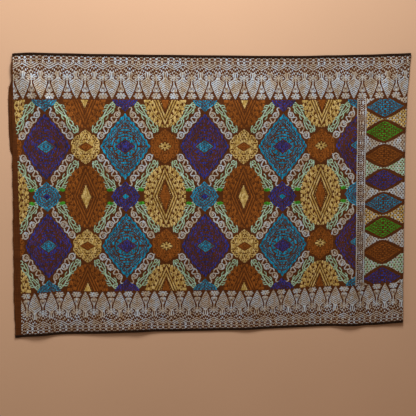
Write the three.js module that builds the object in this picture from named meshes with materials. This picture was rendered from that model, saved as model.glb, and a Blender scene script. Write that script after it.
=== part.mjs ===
// A waist wrap cloth: one woven length, folded in half across its length and laid face up.
// Millimetres, +Z up. X runs along the folded width and Y along the height, from selvedge to
// selvedge. The fold is at +X, and both raw ends lie at -X. The back layer is flat on Z = 0.
// The origin is on the resting face, in the middle of the folded cloth.
import * as THREE from 'three';

// Driving dimensions
const FOLDED_WIDTH = 1210;
const HEIGHT = 840;
const THICKNESS = 1.2;
const LAYER_GAP = 1.2;
const FOLD_RADIUS = 3.6;
const FOLD_EASE = 95;
const BACK_STEP_IN = 2;

// Steps of the grid: along each layer, round the fold, and across the height
const BACK_STEPS = 18;
const FOLD_STEPS = 8;
const FRONT_STEPS = 46;
const HEIGHT_STEPS = 24;

// Edges of the cloth as insets from its box, which give the outline its unevenness.
// The long edges are read at x, and the raw ends and the fold at y.
const TOP_EDGE = [
  { at: -605, inset: 8 },
  { at: -586, inset: 2 },
  { at: -545, inset: 0 },
  { at: -450, inset: 2 },
  { at: -350, inset: 4 },
  { at: -170, inset: 6 },
  { at: -20, inset: 7.5 },
  { at: 170, inset: 9 },
  { at: 260, inset: 9 },
  { at: 360, inset: 7 },
  { at: 460, inset: 5 },
  { at: 560, inset: 2 },
  { at: 605, inset: 0 },
];
const BOTTOM_EDGE = [
  { at: -605, inset: 7 },
  { at: -550, inset: 10 },
  { at: -450, inset: 12.5 },
  { at: -350, inset: 10 },
  { at: -200, inset: 9.5 },
  { at: -100, inset: 6.5 },
  { at: 0, inset: 4.5 },
  { at: 95, inset: 2 },
  { at: 200, inset: 3 },
  { at: 350, inset: 3.5 },
  { at: 450, inset: 0 },
  { at: 520, inset: 1 },
  { at: 605, inset: 5 },
];
const FRONT_RAW_END = [
  { at: -420, inset: 10 },
  { at: -260, inset: 8 },
  { at: 0, inset: 9 },
  { at: 300, inset: 10 },
  { at: 385, inset: 9 },
  { at: 420, inset: 13 },
];
const BACK_RAW_END = [
  { at: -420, inset: 14 },
  { at: 110, inset: 13 },
  { at: 150, inset: 3 },
  { at: 210, inset: 0.5 },
  { at: 290, inset: 0 },
  { at: 325, inset: 2 },
  { at: 350, inset: 12 },
  { at: 420, inset: 16 },
];
const FOLD_EDGE = [
  { at: -420, inset: 0 },
  { at: -270, inset: 3.5 },
  { at: -60, inset: 7 },
  { at: 150, inset: 10 },
  { at: 290, inset: 8 },
  { at: 375, inset: 3 },
  { at: 420, inset: 0 },
];

// Soft folds of the front layer: each is a rounded ridge along a straight crest, which swells up
// and dies away towards both ends. Reach is the distance from the crest to the ridge's foot.
const SOFT_FOLDS = [
  { name: 'pull from the left corner', fromX: -760, fromY: 580, toX: -230, toY: -60, rise: 7, reach: 62 },
  { name: 'roll beside the raw end', fromX: -528, fromY: -640, toX: -520, toY: 10, rise: 6, reach: 62 },
  { name: 'pull from the right corner', fromX: 740, fromY: 570, toX: 330, toY: 20, rise: 6, reach: 70 },
  { name: 'roll beside the upright strip', fromX: 425, fromY: -700, toX: 440, toY: 190, rise: 6.5, reach: 66 },
  { name: 'swell over the lower half', fromX: -470, fromY: -160, toX: 440, toY: -195, rise: 9, reach: 185 },
  { name: 'sag under the upper edge', fromX: -330, fromY: 265, toX: 400, toY: 250, rise: 5, reach: 120 },
  { name: 'lift of the lower edge', fromX: -420, fromY: -430, toX: -130, toY: -400, rise: 4, reach: 70 },
];
const CREST_FADE = 0.42;

// Ease from 0 to 1 with level ends, for a share between 0 and 1
function ease(share) {
  const held = THREE.MathUtils.clamp(share, 0, 1);
  return held * held * (3 - 2 * held);
}

// Inset at one place along an edge, eased between the two rows on either side
function insetAt(edge, place) {
  const next = edge.findIndex((row) => row.at >= place);
  if (next === 0) return edge[0].inset;
  if (next < 0) return edge[edge.length - 1].inset;
  const low = edge[next - 1];
  const high = edge[next];
  const share = ease((place - low.at) / (high.at - low.at));
  return THREE.MathUtils.lerp(low.inset, high.inset, share);
}

// Height that one soft fold adds at x, y: a raised cosine across it, times a fade along it
function foldRise(fold, x, y) {
  const runX = fold.toX - fold.fromX;
  const runY = fold.toY - fold.fromY;
  const length = Math.hypot(runX, runY);
  const along = ((x - fold.fromX) * runX + (y - fold.fromY) * runY) / (length * length);
  const across = Math.abs((x - fold.fromX) * runY - (y - fold.fromY) * runX) / length;
  const fade = ease(along / CREST_FADE) * ease((1 - along) / CREST_FADE);
  if (across >= fold.reach) return 0;
  return fold.rise * fade * 0.5 * (1 + Math.cos((Math.PI * across) / fold.reach));
}

// X where the round of the fold starts, at the height y
function foldStart(y) {
  return FOLDED_WIDTH / 2 - insetAt(FOLD_EDGE, y) - THICKNESS / 2 - FOLD_RADIUS;
}

// Z of the front layer's middle surface: the gap over the back layer and the soft folds,
// which ease into the top of the round fold at its edge
function frontHeight(x, y) {
  const lowest = 1.5 * THICKNESS + LAYER_GAP;
  const folds = SOFT_FOLDS.reduce((sum, fold) => sum + foldRise(fold, x, y), 0);
  const foldTop = THICKNESS / 2 + 2 * FOLD_RADIUS;
  const share = ease(1 - (foldStart(y) - x) / FOLD_EASE);
  return THREE.MathUtils.lerp(lowest + folds, foldTop, share);
}

// X and y of a layer at a share of its width, from raw end to fold, and of its height
function layerPlace(rawEnd, stepIn, widthShare, heightShare) {
  const plainY = HEIGHT * (heightShare - 0.5);
  const rawX = -FOLDED_WIDTH / 2 + insetAt(rawEnd, plainY);
  const x = THREE.MathUtils.lerp(rawX, foldStart(plainY), widthShare);
  const tuck = stepIn * (1 - ease(widthShare));
  const bottom = -HEIGHT / 2 + insetAt(BOTTOM_EDGE, x) + tuck;
  const top = HEIGHT / 2 - insetAt(TOP_EDGE, x) - tuck;
  return { x, y: THREE.MathUtils.lerp(bottom, top, heightShare), plainY };
}

// Middle-surface point and outward normal on the back layer, which lies flat
function backStation(widthShare, heightShare) {
  const { x, y } = layerPlace(BACK_RAW_END, BACK_STEP_IN, widthShare, heightShare);
  return { point: new THREE.Vector3(x, y, THICKNESS / 2), normal: new THREE.Vector3(0, 0, -1) };
}

// The same round the fold, a half turn from the back layer up to the front layer
function foldStation(turn, heightShare) {
  const { x, y } = layerPlace(FRONT_RAW_END, 0, 1, heightShare);
  const normal = new THREE.Vector3(Math.sin(turn), 0, -Math.cos(turn));
  const centre = new THREE.Vector3(x, y, THICKNESS / 2 + FOLD_RADIUS);
  return { point: centre.addScaledVector(normal, FOLD_RADIUS), normal };
}

// The same on the front layer, whose normal follows the slope of its soft folds
function frontStation(widthShare, heightShare) {
  const { x, y } = layerPlace(FRONT_RAW_END, 0, widthShare, heightShare);
  const probe = 1;
  const slopeX = (frontHeight(x + probe, y) - frontHeight(x - probe, y)) / (2 * probe);
  const slopeY = (frontHeight(x, y + probe) - frontHeight(x, y - probe)) / (2 * probe);
  const level = widthShare === 1 ? 0 : 1;
  const normal = new THREE.Vector3(-slopeX * level, -slopeY * level, 1).normalize();
  return { point: new THREE.Vector3(x, y, frontHeight(x, y)), normal };
}

// One section across the cloth, from the back's raw end, round the fold, to the front's raw end
function section(heightShare) {
  const stations = [];
  for (let step = 0; step < BACK_STEPS; step += 1) {
    stations.push(backStation(step / BACK_STEPS, heightShare));
  }
  for (let step = 0; step < FOLD_STEPS; step += 1) {
    stations.push(foldStation((Math.PI * step) / FOLD_STEPS, heightShare));
  }
  for (let step = FRONT_STEPS; step >= 0; step -= 1) {
    stations.push(frontStation(step / FRONT_STEPS, heightShare));
  }
  return stations;
}

// The closed sheet: an outer and an inner skin half a thickness off the middle surface, joined
// by rims along both selvedges and both raw ends
function clothGeometry() {
  const columns = BACK_STEPS + FOLD_STEPS + FRONT_STEPS + 1;
  const rows = HEIGHT_STEPS + 1;
  const positions = [];
  for (const side of [1, -1]) {
    for (let row = 0; row < rows; row += 1) {
      for (const { point, normal } of section(row / HEIGHT_STEPS)) {
        const offset = point.clone().addScaledVector(normal, (side * THICKNESS) / 2);
        positions.push(offset.x, offset.y, offset.z);
      }
    }
  }
  const outer = (column, row) => row * columns + column;
  const inner = (column, row) => rows * columns + outer(column, row);
  const indices = [];
  const quad = (a, b, c, d) => indices.push(a, b, c, a, c, d);
  for (let row = 0; row < rows - 1; row += 1) {
    for (let column = 0; column < columns - 1; column += 1) {
      quad(outer(column, row), outer(column, row + 1), outer(column + 1, row + 1), outer(column + 1, row));
      quad(inner(column, row), inner(column + 1, row), inner(column + 1, row + 1), inner(column, row + 1));
    }
  }
  const last = columns - 1;
  const top = rows - 1;
  for (let row = 0; row < top; row += 1) {
    quad(outer(0, row), inner(0, row), inner(0, row + 1), outer(0, row + 1));
    quad(outer(last, row), outer(last, row + 1), inner(last, row + 1), inner(last, row));
  }
  for (let column = 0; column < last; column += 1) {
    quad(outer(column, 0), outer(column + 1, 0), inner(column + 1, 0), inner(column, 0));
    quad(outer(column, top), inner(column, top), inner(column + 1, top), outer(column + 1, top));
  }
  const geometry = new THREE.BufferGeometry();
  geometry.setAttribute('position', new THREE.Float32BufferAttribute(positions, 3));
  geometry.setIndex(indices);
  const middle = new THREE.Vector3();
  geometry.computeBoundingBox();
  geometry.boundingBox.getCenter(middle);
  geometry.translate(-middle.x, -middle.y, 0);
  geometry.computeVertexNormals();
  return geometry;
}

const brocade = new THREE.MeshStandardMaterial({ color: 0x4c3c36, roughness: 0.78, metalness: 0 });

const cloth = new THREE.Mesh(clothGeometry(), brocade);
cloth.name = 'cloth';

const waistWrap = new THREE.Group();
waistWrap.add(cloth);

export default waistWrap;
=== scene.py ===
"""Looks of the folded brocade waist wrap: ground weave, selvedges, raw ends and raised brocade."""
import math

import bpy
import numpy as np
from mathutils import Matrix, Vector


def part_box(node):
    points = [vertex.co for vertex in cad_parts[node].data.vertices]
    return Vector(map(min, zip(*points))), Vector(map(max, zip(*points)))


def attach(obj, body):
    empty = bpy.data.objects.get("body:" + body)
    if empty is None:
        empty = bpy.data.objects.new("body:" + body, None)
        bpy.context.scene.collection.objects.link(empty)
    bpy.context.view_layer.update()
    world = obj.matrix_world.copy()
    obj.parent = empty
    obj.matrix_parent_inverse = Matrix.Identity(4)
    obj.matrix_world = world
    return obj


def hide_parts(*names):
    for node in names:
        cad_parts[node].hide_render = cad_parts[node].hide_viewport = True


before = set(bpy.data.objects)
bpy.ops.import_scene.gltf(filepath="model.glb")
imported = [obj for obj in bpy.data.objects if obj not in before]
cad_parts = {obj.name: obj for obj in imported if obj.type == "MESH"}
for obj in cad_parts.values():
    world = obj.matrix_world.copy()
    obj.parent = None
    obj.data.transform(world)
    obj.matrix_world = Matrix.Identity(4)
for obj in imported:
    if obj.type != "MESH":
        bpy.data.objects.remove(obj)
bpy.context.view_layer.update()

bl_info = {
    "name": "Folded Waist Wrap",
    "version": (1, 0, 0),
    "blender": (4, 5, 0),
    "location": "3D View > Sidebar > Waist Wrap",
    "description": "Builds a folded brocade waist wrap: ground weave, selvedges, raw ends and brocade",
    "category": "Object",
}

CLOTH_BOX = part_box("cloth")
MM = 0.001

# The folded cloth, in millimetres: its width and height from its node, to the whole millimetre, and
# the other values that its solid was made from
FOLDED_WIDTH, HEIGHT = (float(round((CLOTH_BOX[1][axis] - CLOTH_BOX[0][axis]) / MM)) for axis in (0, 1))
HALF_HEIGHT = HEIGHT / 2.0
LAYER_GAP = 1.2
FOLD_RADIUS = 3.6
FOLD_EASE = 95.0
BACK_STEP_IN = 2.0
CREST_FADE = 0.42

# Edges as insets from the box: place along the edge, inset
TOP_EDGE = [(-605, 8), (-586, 2), (-545, 0), (-450, 2), (-350, 4), (-170, 6), (-20, 7.5), (170, 9),
            (260, 9), (360, 7), (460, 5), (560, 2), (605, 0)]
BOTTOM_EDGE = [(-605, 7), (-550, 10), (-450, 12.5), (-350, 10), (-200, 9.5), (-100, 6.5), (0, 4.5),
               (95, 2), (200, 3), (350, 3.5), (450, 0), (520, 1), (605, 5)]
FRONT_RAW_END = [(-420, 10), (-260, 8), (0, 9), (300, 10), (385, 9), (420, 13)]
BACK_RAW_END = [(-420, 14), (110, 13), (150, 3), (210, 0.5), (290, 0), (325, 2), (350, 12), (420, 16)]
FOLD_EDGE = [(-420, 0), (-270, 3.5), (-60, 7), (150, 10), (290, 8), (375, 3), (420, 0)]

# Folds of the front layer: start x, y, end x, y, rise and reach. The soft folds are the solid's, and the
# creases are smaller ones, raised by a gain
SOFT_FOLDS = [
    (-760, 580, -230, -60, 7, 62),
    (-528, -640, -520, 10, 6, 62),
    (740, 570, 330, 20, 6, 70),
    (425, -700, 440, 190, 6.5, 66),
    (-470, -160, 440, -195, 9, 185),
    (-330, 265, 400, 250, 5, 120),
    (-420, -430, -130, -400, 4, 70),
]
CREASES = [
    (-680, 470, -250, 20, 1.6, 20),
    (-640, 430, -330, 60, -1.3, 17),
    (-455, 470, -430, -80, -1.5, 26),
    (-300, 520, -262, 60, 1.0, 24),
    (436, 560, 446, 40, -1.6, 17),
    (470, 560, 478, -60, 1.1, 20),
    (690, 520, 400, 90, -1.2, 24),
    (-60, -640, -5, -150, -2.6, 62),
    (120, -600, 95, -210, 1.6, 55),
    (-250, -560, -205, -250, 1.5, 45),
    (300, -620, 290, -240, -1.5, 48),
    (-120, 60, 260, 20, -1.2, 60),
    (60, 520, 40, 190, -0.9, 40),
    (520, -560, 500, -150, 1.3, 34),
    (-420, -318, 380, -312, 3.2, 78),
]
CREASE_GAIN = 1.5

# How the pattern lies on the cloth, read at x: sag of its middle, and spread of its rows
ROW_SAG = [(-605, 1), (-268, 2.5), (-29, 4), (208, 6.8), (360, 5), (535, 2), (605, 2)]
ROW_SPREAD = [(-605, 0), (-497, 0.4), (-268, 3), (-29, 4.2), (208, 5.8), (360, 3.5), (535, 0.3), (605, 0.3)]

# Shifts of the pattern along the cloth. A run is the start and the length of an ease from 0 to 1.
BOW_RISE = 11.8
BOW_START = -562.0
BOW_LENGTH = 1180.0
BOW_POWER = 0.6
CORNER_PULL = 12.0
CORNER_START = -600.0
CORNER_FADE = 130.0
CORNER_RUN = (120.0, 220.0)
STRIP_LEAN = 3.0
LEAN_RUN = (330.0, 110.0)
LEAN_HEIGHT = 262.0
LOW_PUSH = 4.2
PUSH_RUN = (80.0, -220.0)
PUSH_END_RUN = (290.0, 130.0)

# Shift of the head panel's lozenges, read at v
PANEL_SHIFT = [(-290, 8.5), (-262, 7.6), (-187, -1), (-112, -1.5), (-37, -3.3), (40, 0), (300, 0)]

# Thread colours by number
GROUND, SILVER, MINT, GOLD, COPPER, VIOLET, BLUE, GREEN = range(8)

# The pattern, in millimetres along the folded width and across the height. The field's pattern runs on
# by a lap past its half height, and of the lap only the silver is woven, with the borders
SELVEDGE = 7.5
FIELD_HALF = 286.0
FIELD_START = -580.0
FIELD_END = 446.0
STRIP_START = 446.5
STRIP_END = 472.5
PANEL_START = 474.5
PANEL_END = 622.0
COLUMN_PITCH = 118.05
FIRST_COLUMN = -492.5
ROW_PITCH = 147.5
KITE_PITCH = 52.02
KITE_PHASE = -554.0
FIELD_LAP = 3.0

# Shift of the lower border's kites from the upper border's, less a drift that eases in over a run
LOWER_SHIFT = 16.0
LOWER_DRIFT = 13.5
DRIFT_RUN = (140.0, 280.0)

# Points of the ground sheet: rows up the height, and columns along the back, the fold and the front
SHEET_ROWS = 141
BACK_COLUMNS = 40
FOLD_COLUMNS = 12
FRONT_COLUMNS = 201

# Selvedge bands: their height off the ground weave's face, in their middle and at their inner lip, and
# their outer edge's section, out and up
SELVEDGE_PROUD = 0.45
SELVEDGE_LIP = 0.05
SELVEDGE_SECTION = [(-0.35, 0.5), (0.0, 0.42), (0.25, 0.0), (0.0, -0.42), (-0.35, -0.5)]

# Loose yarns: clear length at the cloth's corners, depth of their roots, radius and lowest middle
YARN_CLEAR = 9.0
YARN_ROOT = 2.5
YARN_RADIUS = 0.28
YARN_LOWEST = 0.35
YARN_SEED = 17

# Floats: base over the ground weave's face, longest hip, hip as a share of the length, and how far
# round the fold they go, in radians
FLOAT_BASE = 0.05
HIP_LENGTH = 0.9
HIP_SHARE = 0.3
FOLD_TURN_SHOWN = 2.3

# Area that the UV maps of floats and yarns cover, in millimetres of the folded cloth
MAP_START = (-612.0, -425.0)
MAP_SIZE = (1240.0, 850.0)
YARN_MAP_WIDTH = 30.0

# The stage: half of its floor in millimetres, and its lights and camera in metres. Lights: name, place,
# size and colour
FLOOR_HALF = 9000.0
LIGHTS = [
    ("key", (-0.12, 1.80, 1.18), 0.8, (1.0, 0.98, 0.95)),
    ("fill", (0.6, -2.1, 1.6), 1.8, (1.0, 0.46, 0.20)),
    ("side", (-2.6, 0.35, 1.05), 0.7, (1.0, 0.93, 0.84)),
]
SURROUND_COLOUR = (1.0, 0.82, 0.65, 1.0)
CAMERA_PLACE = (-0.797, 0.536, 3.763)
CAMERA_TURN = (-0.1505, -0.2029, 0.0077)
SENSOR_WIDTH = 36.0


def ease(share):
    """Ease from 0 to 1 with level ends: 3 s squared minus 2 s cubed, for a share held in 0 to 1."""
    held = np.clip(share, 0.0, 1.0)
    return held * held * (3.0 - 2.0 * held)


def ease_run(value, run):
    """Ease of a value over a run, given as its start and its length."""
    return ease((value - run[0]) / run[1])


def read_edge(rows, place):
    """Value at a place along an edge: eased between the two rows on either side."""
    at, value = np.array(rows, float).T
    held = np.clip(place, at[0], at[-1])
    low = np.clip(np.searchsorted(at, held, side="right") - 1, 0, len(at) - 2)
    return value[low] + (value[low + 1] - value[low]) * ease((held - at[low]) / (at[low + 1] - at[low]))


def fold_rise(fold, x, y):
    """Rise of one fold: a raised cosine across its crest line, times an ease in and out along it."""
    from_x, from_y, to_x, to_y, rise, reach = fold
    run_x, run_y = to_x - from_x, to_y - from_y
    length = math.hypot(run_x, run_y)
    along = ((x - from_x) * run_x + (y - from_y) * run_y) / length ** 2
    across = np.abs((x - from_x) * run_y - (y - from_y) * run_x) / length
    fade = ease(along / CREST_FADE) * ease((1.0 - along) / CREST_FADE)
    return np.where(across < reach, rise * fade * 0.5 * (1.0 + np.cos(np.pi * across / reach)), 0.0)


def fold_start(v, thickness):
    """X where the round of the fold starts, at the plain height v."""
    return FOLDED_WIDTH / 2.0 - read_edge(FOLD_EDGE, v) - thickness / 2.0 - FOLD_RADIUS


def front_height(x, y, start, thickness):
    """Z of the front layer: the gap over the back layer, the folds and the creases, eased into the fold."""
    lowest = 1.5 * thickness + LAYER_GAP
    folds = sum(fold_rise(fold, x, y) for fold in SOFT_FOLDS)
    creases = CREASE_GAIN * sum(fold_rise(crease, x, y) for crease in CREASES)
    height = lowest + np.maximum(folds + creases, 0.0)
    top = thickness / 2.0 + 2.0 * FOLD_RADIUS
    return height + (top - height) * ease(1.0 - (start - x) / FOLD_EASE)


def front_normal(x, y, start, thickness):
    """Unit normal of the front layer, from the height's slopes over a millimetre each way."""
    slope_x = (front_height(x + 1, y, start, thickness) - front_height(x - 1, y, start, thickness)) / 2.0
    slope_y = (front_height(x, y + 1, start, thickness) - front_height(x, y - 1, start, thickness)) / 2.0
    normal = np.stack([-slope_x, -slope_y, np.ones_like(x)], -1)
    return normal / np.linalg.norm(normal, axis=-1, keepdims=True)


def cloth_y(x, v, tuck=0.0):
    """Y at the plain height v: even between the lower and the upper edge at x."""
    low = -HALF_HEIGHT + read_edge(BOTTOM_EDGE, x) + tuck
    high = HALF_HEIGHT - read_edge(TOP_EDGE, x) - tuck
    return low + (high - low) * (v / HEIGHT + 0.5)


def face_points(x, v, y, lift, thickness):
    """Points on the face of the cloth at x and height v, a lift above it.

    Up to the fold it is the front layer's face. Past it, x is the length round the fold's outer arc.
    """
    start = fold_start(v, thickness)
    level_x = np.minimum(x, start)
    height = front_height(level_x, y, start, thickness)
    normal = front_normal(level_x, y, start, thickness)
    flat = np.stack([level_x, y, height], -1) + normal * (thickness / 2.0 + lift)[..., None]
    radius = FOLD_RADIUS + thickness / 2.0
    turn = np.maximum(x - start, 0.0) / radius
    centre_z = thickness / 2.0 + FOLD_RADIUS
    round_point = np.stack([start + (radius + lift) * np.sin(turn), y,
                            centre_z + (radius + lift) * np.cos(turn)], -1)
    return np.where((x > start)[..., None], round_point, flat)


def pattern_place(s, v):
    """Where the pattern at s, v lies on the cloth, as x and y.

    X is s less a bow, which pulls the middle towards the raw end, less the pull of the upper left
    corner and the lean beside the fold, and with a push of the lower part. Y is even between the edges,
    with a sag and a spread.
    """
    share = np.clip((s - BOW_START) / BOW_LENGTH, 0.0, 1.0)
    x = s - BOW_RISE * np.sin(np.pi * share ** BOW_POWER)
    x = x - CORNER_PULL * np.exp(-(s - CORNER_START) / CORNER_FADE) * ease_run(v, CORNER_RUN)
    x = x - STRIP_LEAN * ease_run(s, LEAN_RUN) * v / LEAN_HEIGHT
    x = x + LOW_PUSH * ease_run(v, PUSH_RUN) * (1.0 - ease_run(s, PUSH_END_RUN))
    y = cloth_y(x, v) - read_edge(ROW_SAG, x) * np.cos(np.pi * v / HEIGHT)
    y = y + read_edge(ROW_SPREAD, x) * np.sin(2.0 * np.pi * v / HEIGHT)
    return x, y


# Pattern: each painter takes places s, v in millimetres and writes thread colour numbers

def frac(values):
    """What is left of a value over the whole number below it."""
    return values - np.floor(values)


def wave(values):
    """0 at whole numbers and 1 half way between them."""
    return np.abs(frac(values + 0.5) - 0.5) * 2.0


def bricks(x, y, length, height):
    """A wave along rows of bricks: each row of the height is shifted by half a length from the last."""
    return wave(x / length + 0.5 * np.floor(y / height))


def on_line(values, line):
    """True on a line, given as its middle and its half width."""
    return np.abs(values - line[0]) < line[1]


def oval_level(x, y, half, power):
    """1 on the edge of a superellipse: the sum of both offsets over the halves, each to the power."""
    return ((np.abs(x) / half[0]) ** power + (np.abs(y) / half[1]) ** power) ** (1.0 / power)


def round_level(x, y, half):
    """1 on the edge of an ellipse: the root of the sum of both offsets over the halves, squared."""
    return np.hypot(x / half[0], y / half[1])


def kite_level(x, y, half):
    """1 on the edge of a straight-sided lozenge: the sum of both offsets over the halves."""
    return np.abs(x) / half[0] + np.abs(y) / half[1]


def petals_of_eight(across, up):
    """1 along eight even spokes round the middle and 0 half way between them, by the angle."""
    return wave(np.arctan2(up, across) * 4 / np.pi + 0.5)


def thread_numbers(chosen, number, other):
    """One thread number where chosen, and another elsewhere."""
    return np.where(chosen, number, other).astype(np.int8)


def spiral(centre, start, end, turns, angle, spin=1, steps=40):
    """Points of a spiral: the radius runs evenly from start to end while the angle turns."""
    share = np.linspace(0.0, 1.0, steps)
    radius = start + (end - start) * share
    turn = np.radians(angle) + spin * 2.0 * np.pi * turns * share
    return np.stack([centre[0] + radius * np.cos(turn), centre[1] + radius * np.sin(turn)], 1)


def curve(*points, steps=36):
    """A smooth curve through points, as a Catmull-Rom cubic between each pair."""
    knots = np.array(points, float)
    padded = np.vstack([2 * knots[0] - knots[1], knots, 2 * knots[-1] - knots[-2]])
    share = np.linspace(0.0, len(knots) - 1 - 1e-6, steps)
    index = share.astype(int)
    t = (share - index)[:, None]
    a, b, c, d = (padded[index + k] for k in range(4))
    cubic = (3 * b - a - 3 * c + d) * t ** 3
    return 0.5 * (2 * b + (c - a) * t + (2 * a - 5 * b + 4 * c - d) * t ** 2 + cubic)


def ring(centre, half, lean=0.0, steps=32):
    """An ellipse's points: cosine and sine of an even turn, times the halves, leaned."""
    turn = np.linspace(0.0, 2.0 * np.pi, steps)
    x, y = half[0] * np.cos(turn), half[1] * np.sin(turn)
    c, s = math.cos(math.radians(lean)), math.sin(math.radians(lean))
    return np.stack([centre[0] + c * x - s * y, centre[1] + s * x + c * y], 1)


# Most pairs of a place and a line piece that are measured at once
LARGEST_BATCH = 4000000


def near(x, y, strokes):
    """True where a place lies within a stroke's half width of its line of points."""
    flat = np.stack([x.ravel(), y.ravel()], 1).astype(np.float32)
    hit = np.zeros(len(flat), bool)
    for points, half_width in strokes:
        inside = ((flat >= points.min(0) - half_width) & (flat <= points.max(0) + half_width)).all(1)
        chosen = np.flatnonzero(inside)
        first = points[:-1].astype(np.float32)
        run = points[1:].astype(np.float32) - first
        size = np.maximum((run ** 2).sum(1), 1e-6)
        for part in np.array_split(chosen, len(chosen) * len(first) // LARGEST_BATCH + 1):
            place = flat[part]
            t = np.clip(((place[:, None] - first) * run).sum(2) / size, 0.0, 1.0)
            distance = ((place[:, None] - first - t[:, :, None] * run) ** 2).sum(2).min(1)
            hit[part] |= distance < half_width ** 2
    return hit.reshape(x.shape)


# The chain's frame runs along one side of a big lozenge, from near its upper tip to near its side
# tip: along it, and out from the lozenge
CHAIN_FROM = (13.0, 113.0)
CHAIN_TO = (79.0, 19.0)


def chain_frame(x, y):
    """Distance along the chain's line, and out from it, by turning a place into the line's direction."""
    run = np.subtract(CHAIN_TO, CHAIN_FROM)
    run = run / np.hypot(*run)
    dx, dy = x - CHAIN_FROM[0], y - CHAIN_FROM[1]
    return dx * run[0] + dy * run[1], dy * run[0] - dx * run[1]


# Beads of the chain: centre, halves and lean
CHAIN_BEADS = [((22, -3), (9.2, 7.2), 6), ((60, 0), (9.2, 7.3), -4), ((99, 1), (9.7, 7.8), 0)]


def silver_chain():
    """Three scrolled beads in a row, joined by S links, with a hook at each end."""
    line, bead, scroll, tie = 1.7, 1.55, 1.25, 1.2
    strokes = []
    for centre, half, lean in CHAIN_BEADS:
        strokes.append((ring(centre, half, lean), bead))
        strokes.append((spiral(centre, 4.7, 0.8, 1.1, 120 + lean), scroll))
    strokes += [
        (curve((-4, -3), (0, 4), (6, 4), (9, -1), (13, -7)), line),
        (curve((31, -3), (36, 5), (41, 5), (44, -2), (48, -7), (52, -4)), line),
        (curve((34, -9), (41, -10.5), (47, -7)), line),
        (curve((68, 4), (74, 9), (79, 6), (82, 0), (86, -5), (91, -3)), line),
        (curve((72, -6), (79, -9), (86, -6)), line),
        (curve((52, 8), (60, 10.5), (68, 8.5)), tie),
        (curve((91, 9), (99, 11.5), (107, 8)), tie),
        (curve((107, 4), (112, 6), (116, 1), (119, -3)), line),
    ]
    return strokes


def mint_vine():
    """A leafy vine beside the chain: a curl with feather leaves, a knot, and a looped leaf with a curl."""
    stem, leaf, knot = 1.55, 1.3, 3.2
    return [
        (spiral((4, 23), 8.0, 2.0, 1.2, 150, -1), stem),
        (curve((6, 15.5), (18, 16), (30, 19), (42, 23), (50, 26)), stem),
        (curve((8, 31), (18, 31), (30, 30), (42, 29), (50, 27)), stem),
        (curve((15, 22), (24, 22.5), (34, 25)), leaf),
        (curve((12, 31), (15, 38), (22, 42)), leaf),
        (curve((19, 31), (23, 38), (31, 41)), leaf),
        (curve((27, 30.5), (32, 36), (40, 37.5)), leaf),
        (curve((13, 16), (19, 11.5), (27, 12)), leaf),
        (curve((46, 27), (56, 27)), knot),
        (curve((54, 29), (63, 36), (76, 38.5), (89, 37), (101, 32)), stem),
        (curve((54, 25), (63, 18), (75, 14.5), (87, 14)), stem),
        (ring((71, 27), (9.6, 5.2)), stem),
        (curve((81, 27), (89, 30), (96, 29)), leaf),
        (curve((80, 21), (87, 20), (91, 22)), leaf),
        (spiral((98, 22.5), 8.2, 2.0, 1.2, 40, 1), stem),
        (curve((62, 36.5), (70, 42.5), (80, 43)), leaf),
        (curve((36, 20), (43, 15.5), (51, 16)), leaf),
    ]


def dashed_rings(level, along, rings, ripple, ripples, cover, cuts, cut):
    """Rings at even steps of a level, rippled along their run by a sine, and cut into dashes."""
    place = level * rings + ripple * np.sin(2.0 * np.pi * ripples * along)
    return (frac(place) < cover) & (frac(along * cuts + 0.5 * np.floor(place)) > cut)


# The big lozenge. Its rim goes by level, which is 1 at the tips of the lobes and smaller inwards: a solid
# edge, then a lattice of dark dots that a dashed dark line and a plain dark line cut
LOZENGE_HALF = (75.0, 98.5)
LOZENGE_POWER = 1.10
LOZENGE_TIP = 0.975
LOZENGE_LOBES = 6.0
RIM_EDGE = 0.915
RIM_DASHES = (0.885, 0.024)
RIM_LINE = (0.70, 0.022)
RIM_INNER = 0.655
LATTICE_DOT = (7.8, 3.9)
VIOLET_FLECK = (9.0, 6.0)
HEART_HALF = (25.5, 18.5)

# Lens rings inside it: start level, thickness, dashes in a quarter and their phase
LENS_HALF = (73.0, 60.0)
LENS_RIPPLE = 0.016
LENS_RINGS = [(0.915, 0.076, 3.3, 0.10), (0.788, 0.076, 2.3, 0.30), (0.661, 0.074, 2.7, 0.55),
              (0.536, 0.072, 1.7, 0.10), (0.412, 0.070, 2.4, 0.35)]


def lozenge_scrolls():
    """One quarter of a big lozenge's scrolls: a bulb on a stem, leaves, crescents and side loops."""
    line, bulb = 1.5, 1.6
    return [
        (ring((0, 66), (3.4, 3.8), steps=16), bulb),
        (curve((0, 60), (0, 50)), line),
        (curve((3, 57), (7, 52), (12, 50.5)), line),
        (curve((15, 66), (20, 61), (27, 63), (29, 68)), line),
        (curve((5, 76), (10, 72), (14, 75)), line),
        (curve((10, 58), (19, 54), (28, 50), (34, 53)), line),
        (ring((64, 10), (7.5, 6.0), steps=20), line),
        (curve((50, 12), (54, 20), (60, 22)), line),
        (ring((47, 33), (6.0, 5.0), steps=18), line),
    ]


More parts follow.
